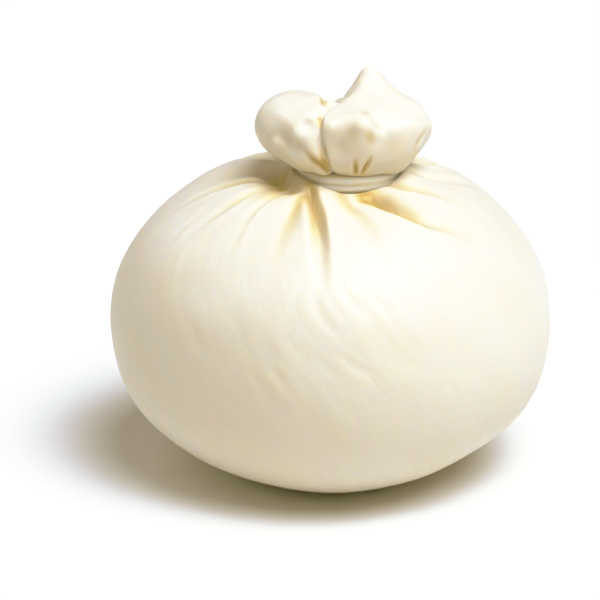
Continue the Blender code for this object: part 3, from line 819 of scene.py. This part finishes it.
curd = {
    "white": (0.82, 0.775, 0.69),
    "cream": (0.81, 0.76, 0.66),       # in soft clouds over the white
    # the strand's curd painted lighter than the pouch's, standing in for light where the knot shades it
    "strandPaintedLightWhite": (0.93, 0.89, 0.81),
    "strandPaintedLightCream": (0.92, 0.87, 0.77),
    "cloudSize": 11.0,
    "clouds": (0.35, 0.68),            # values of the noise from white to cream
    "strawAndShade": (0.58, 0.41, 0.055),      # straw tint of whey in the creases, darkened with painted crease shade
    "strawAndShadeBreaks": (2.2, 7.0),         # size of its uneven spots across and along the grain
    "strawAndShadeNoise": (0.3, 0.6),
    "strawAndShadeLeast": 0.8,
    "roughness": (0.38, 0.52),
    "roughNoise": (0.3, 0.7),
    "wet": 0.30,                       # roughness in the creases
    "scatter": (1.0, 0.78, 0.5),
    "scatterDepth": 1.3,
    "noiseDetail": 2.0,
    "noiseRoughness": 0.55,
    "fibre": (1.3, 5.0),               # across and along the grain
    "fibreDetail": 3.0,
    "fibreHeight": 0.05,
    "grainSize": 0.7,
    "grainHeight": 0.03,
}


def noiseNode(nodes, links, vector, scale, detail=curd["noiseDetail"]):
    # noise over a vector in millimetres, stretched by its scale
    mapping = nodes.new("ShaderNodeMapping")
    mapping.inputs["Scale"].default_value = [1.0 / size for size in scale]
    links.new(vector, mapping.inputs["Vector"])
    texture = nodes.new("ShaderNodeTexNoise")
    texture.inputs["Scale"].default_value = 1.0
    texture.inputs["Detail"].default_value = detail
    texture.inputs["Roughness"].default_value = curd["noiseRoughness"]
    links.new(mapping.outputs["Vector"], texture.inputs["Vector"])
    return texture.outputs["Fac"]


def rangeNode(nodes, links, value, fromRange, toRange):
    node = nodes.new("ShaderNodeMapRange")
    for socket, number in zip(("From Min", "From Max", "To Min", "To Max"), (*fromRange, *toRange)):
        node.inputs[socket].default_value = number
    links.new(value, node.inputs["Value"])
    return node.outputs["Result"]


def mixNode(nodes, links, factor, first, second):
    node = nodes.new("ShaderNodeMix")
    node.data_type = "RGBA"
    for socket, colour in (("A", first), ("B", second)):
        if isinstance(colour, tuple):
            node.inputs[socket].default_value = (*colour, 1.0)
        else:
            links.new(colour, node.inputs[socket])
    links.new(factor, node.inputs["Factor"])
    return node.outputs["Result"]


def bumpNode(nodes, links, height, depth, normal=None):
    node = nodes.new("ShaderNodeBump")
    node.inputs["Strength"].default_value = 1.0
    node.inputs["Distance"].default_value = depth * mm
    links.new(height, node.inputs["Height"])
    if normal is not None:
        links.new(normal, node.inputs["Normal"])
    return node.outputs["Normal"]


def curdMaterial(name, white, cream):
    material = bpy.data.materials.new(name)
    material.use_nodes = True
    nodes = material.node_tree.nodes
    links = material.node_tree.links
    shader = nodes["Principled BSDF"]
    flow = nodes.new("ShaderNodeAttribute")
    flow.attribute_name = "flow"
    stainAndShade = nodes.new("ShaderNodeAttribute")
    stainAndShade.attribute_name = "stainAndShade"
    across, along = curd["fibre"]
    breakAcross, breakAlong = curd["strawAndShadeBreaks"]
    cloud = noiseNode(nodes, links, flow.outputs["Vector"], (curd["cloudSize"],) * 3)
    fibre = noiseNode(nodes, links, flow.outputs["Vector"], (across, across, along), curd["fibreDetail"])
    grainy = noiseNode(nodes, links, flow.outputs["Vector"], (curd["grainSize"],) * 3)
    breakUp = noiseNode(nodes, links, flow.outputs["Vector"], (breakAcross, breakAcross, breakAlong))

    # clouds of cream over the white, and straw tint with painted crease shade in the creases
    clouds = rangeNode(nodes, links, cloud, curd["clouds"], (0.0, 1.0))
    skinColour = mixNode(nodes, links, clouds, white, cream)
    uneven = nodes.new("ShaderNodeMath")
    uneven.operation = "MULTIPLY"
    links.new(stainAndShade.outputs["Fac"], uneven.inputs[0])
    broken = rangeNode(nodes, links, breakUp, curd["strawAndShadeNoise"], (curd["strawAndShadeLeast"], 1.0))
    links.new(broken, uneven.inputs[1])
    colour = mixNode(nodes, links, uneven.outputs["Value"], skinColour, curd["strawAndShade"])
    links.new(colour, shader.inputs["Base Color"])

    # wetter in the creases
    dry = rangeNode(nodes, links, fibre, curd["roughNoise"], curd["roughness"])
    wet = nodes.new("ShaderNodeMix")
    wet.inputs["B"].default_value = curd["wet"]
    links.new(stainAndShade.outputs["Fac"], wet.inputs["Factor"])
    links.new(dry, wet.inputs["A"])
    links.new(wet.outputs["Result"], shader.inputs["Roughness"])

    normal = bumpNode(nodes, links, fibre, curd["fibreHeight"])
    normal = bumpNode(nodes, links, grainy, curd["grainHeight"], normal)
    links.new(normal, shader.inputs["Normal"])
    shader.inputs["Subsurface Weight"].default_value = 1.0
    shader.inputs["Subsurface Radius"].default_value = curd["scatter"]
    shader.inputs["Subsurface Scale"].default_value = curd["scatterDepth"] * mm
    return material


camera = {
    "elevation": 19.0,
    "distance": 0.6,           # metres
    "aim": (-5.9, 0.0, 32.6),
    "viewWidth": 115.9,
    "sensor": 36.0,
    "clipStart": 0.01,         # metres
}

studio = {
    "floorSize": 6.0,          # metres
    "floorColour": (0.86, 0.857, 0.84),
    "floorRoughness": 0.9,
    "floorGloss": 0.1,
    "air": 0.08,               # strength of the light from all round
    # big soft lights: degrees to the right of the camera, elevation, width in degrees, power
    "lights": {
        "key": (43, 62, 42, 3.25),
        "side": (95, 50, 30, 0.2),
        "fill": (270, 55, 60, 0.43),
        "back": (225, 30, 60, 0.35),
    },
    # colour curves of the view, each channel in and out: white stays white, shade turns a little warm
    "tone": [
        [(0.0, 0.0), (0.10, 0.16), (0.25, 0.285), (0.56, 0.53), (0.70, 0.69), (0.90, 0.925), (1.0, 1.0)],
        [(0.0, 0.0), (0.10, 0.14), (0.25, 0.24), (0.60, 0.54), (0.71, 0.695), (0.88, 0.93), (1.0, 1.0)],
        [(0.0, 0.0), (0.10, 0.08), (0.20, 0.14), (0.52, 0.408), (0.62, 0.575), (0.80, 0.87),
         (0.90, 0.955), (1.0, 1.0)],
    ],
}


def placeCamera():
    aim = Vector(camera["aim"]) * mm
    angle = math.radians(camera["elevation"])
    away = Vector((0.0, -math.cos(angle), math.sin(angle)))
    data = bpy.data.cameras.new("camera")
    obj = bpy.data.objects.new("camera", data)
    bpy.context.scene.collection.objects.link(obj)
    obj.location = aim + away * camera["distance"]
    obj.rotation_euler = (-away).to_track_quat("-Z", "Y").to_euler()
    data.sensor_width = camera["sensor"]
    data.lens = camera["sensor"] * camera["distance"] / (camera["viewWidth"] * mm)
    data.clip_start = camera["clipStart"]
    bpy.context.scene.camera = obj


def addSoftLight(name, azimuth, elevation, width, power):
    around = math.radians(azimuth)
    angle = math.radians(elevation)
    away = Vector((math.sin(around) * math.cos(angle), -math.cos(around) * math.cos(angle), math.sin(angle)))
    data = bpy.data.lights.new(name, "SUN")
    data.energy = power
    data.angle = math.radians(width)
    obj = bpy.data.objects.new(name, data)
    bpy.context.scene.collection.objects.link(obj)
    obj.location = away
    obj.rotation_euler = (-away).to_track_quat("-Z", "Y").to_euler()


def buildFloor():
    bpy.ops.object.select_all(action="DESELECT")
    bpy.ops.mesh.primitive_plane_add(size=studio["floorSize"])
    floor = bpy.context.object
    floor.name = "studio_floor"
    material = bpy.data.materials.new("studio_white")
    material.use_nodes = True
    shader = material.node_tree.nodes["Principled BSDF"]
    shader.inputs["Base Color"].default_value = (*studio["floorColour"], 1.0)
    shader.inputs["Roughness"].default_value = studio["floorRoughness"]
    shader.inputs["Specular IOR Level"].default_value = studio["floorGloss"]
    floor.data.materials.append(material)


def fillAir():
    world = bpy.data.worlds.new("studio_air")
    world.use_nodes = True
    background = world.node_tree.nodes["Background"]
    background.inputs["Color"].default_value = (1.0, 1.0, 1.0, 1.0)
    background.inputs["Strength"].default_value = studio["air"]
    bpy.context.scene.world = world


def setTone():
    view = bpy.context.scene.view_settings
    view.view_transform = "Standard"
    view.use_curve_mapping = True
    view.curve_mapping.use_clip = False
    for curve, points in zip(view.curve_mapping.curves, studio["tone"]):
        curve.points[0].location = points[0]
        curve.points[-1].location = points[-1]
        for x, y in points[1:-1]:
            curve.points.new(x, y)
    view.curve_mapping.update()


pouchPiece = buildPouch()
pouchPiece.data.materials.append(curdMaterial("curd_skin", curd["white"], curd["cream"]))
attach(pouchPiece, "root")
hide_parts("pouch")
print("pouch", len(pouchPiece.data.polygons), "faces")

strandPiece = buildStrand()
# the strand gets the curd painted lighter, for light where the knot shades it
strandPiece.data.materials.append(curdMaterial("curd_strand", curd["strandPaintedLightWhite"], curd["strandPaintedLightCream"]))
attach(strandPiece, "root")
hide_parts("neck_strand")
print("strand", len(strandPiece.data.polygons), "faces")

placeCamera()
buildFloor()
for name, (azimuth, elevation, width, power) in studio["lights"].items():
    addSoftLight(name, azimuth, elevation, width, power)
fillAir()
setTone()
print("studio")
